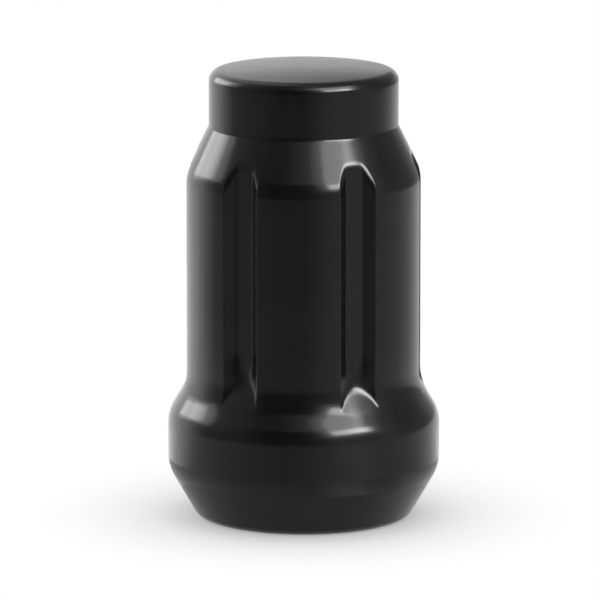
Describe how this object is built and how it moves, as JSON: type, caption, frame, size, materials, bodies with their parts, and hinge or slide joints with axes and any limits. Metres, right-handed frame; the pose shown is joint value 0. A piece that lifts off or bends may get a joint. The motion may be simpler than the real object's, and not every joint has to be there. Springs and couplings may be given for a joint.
{
  "type": "lug nut",
  "caption": "Closed-end wheel nut with a conical seat under a flared flange and a grooved body that a spline key drives.",
  "frame": {"origin": "centre of the seat end, on the plane that the nut stands on", "axes": "+Z along the thread's axis towards the closed cap, +X through the middle of a groove, -Y through the middle of a land"},
  "size_m": [0.024, 0.024, 0.04],
  "materials": {
    "black_coat": "satin-gloss black coating on steel"
  },
  "bodies": {
    "root": {"lug_nut": "black_coat"}
  },
  "joints": []
}
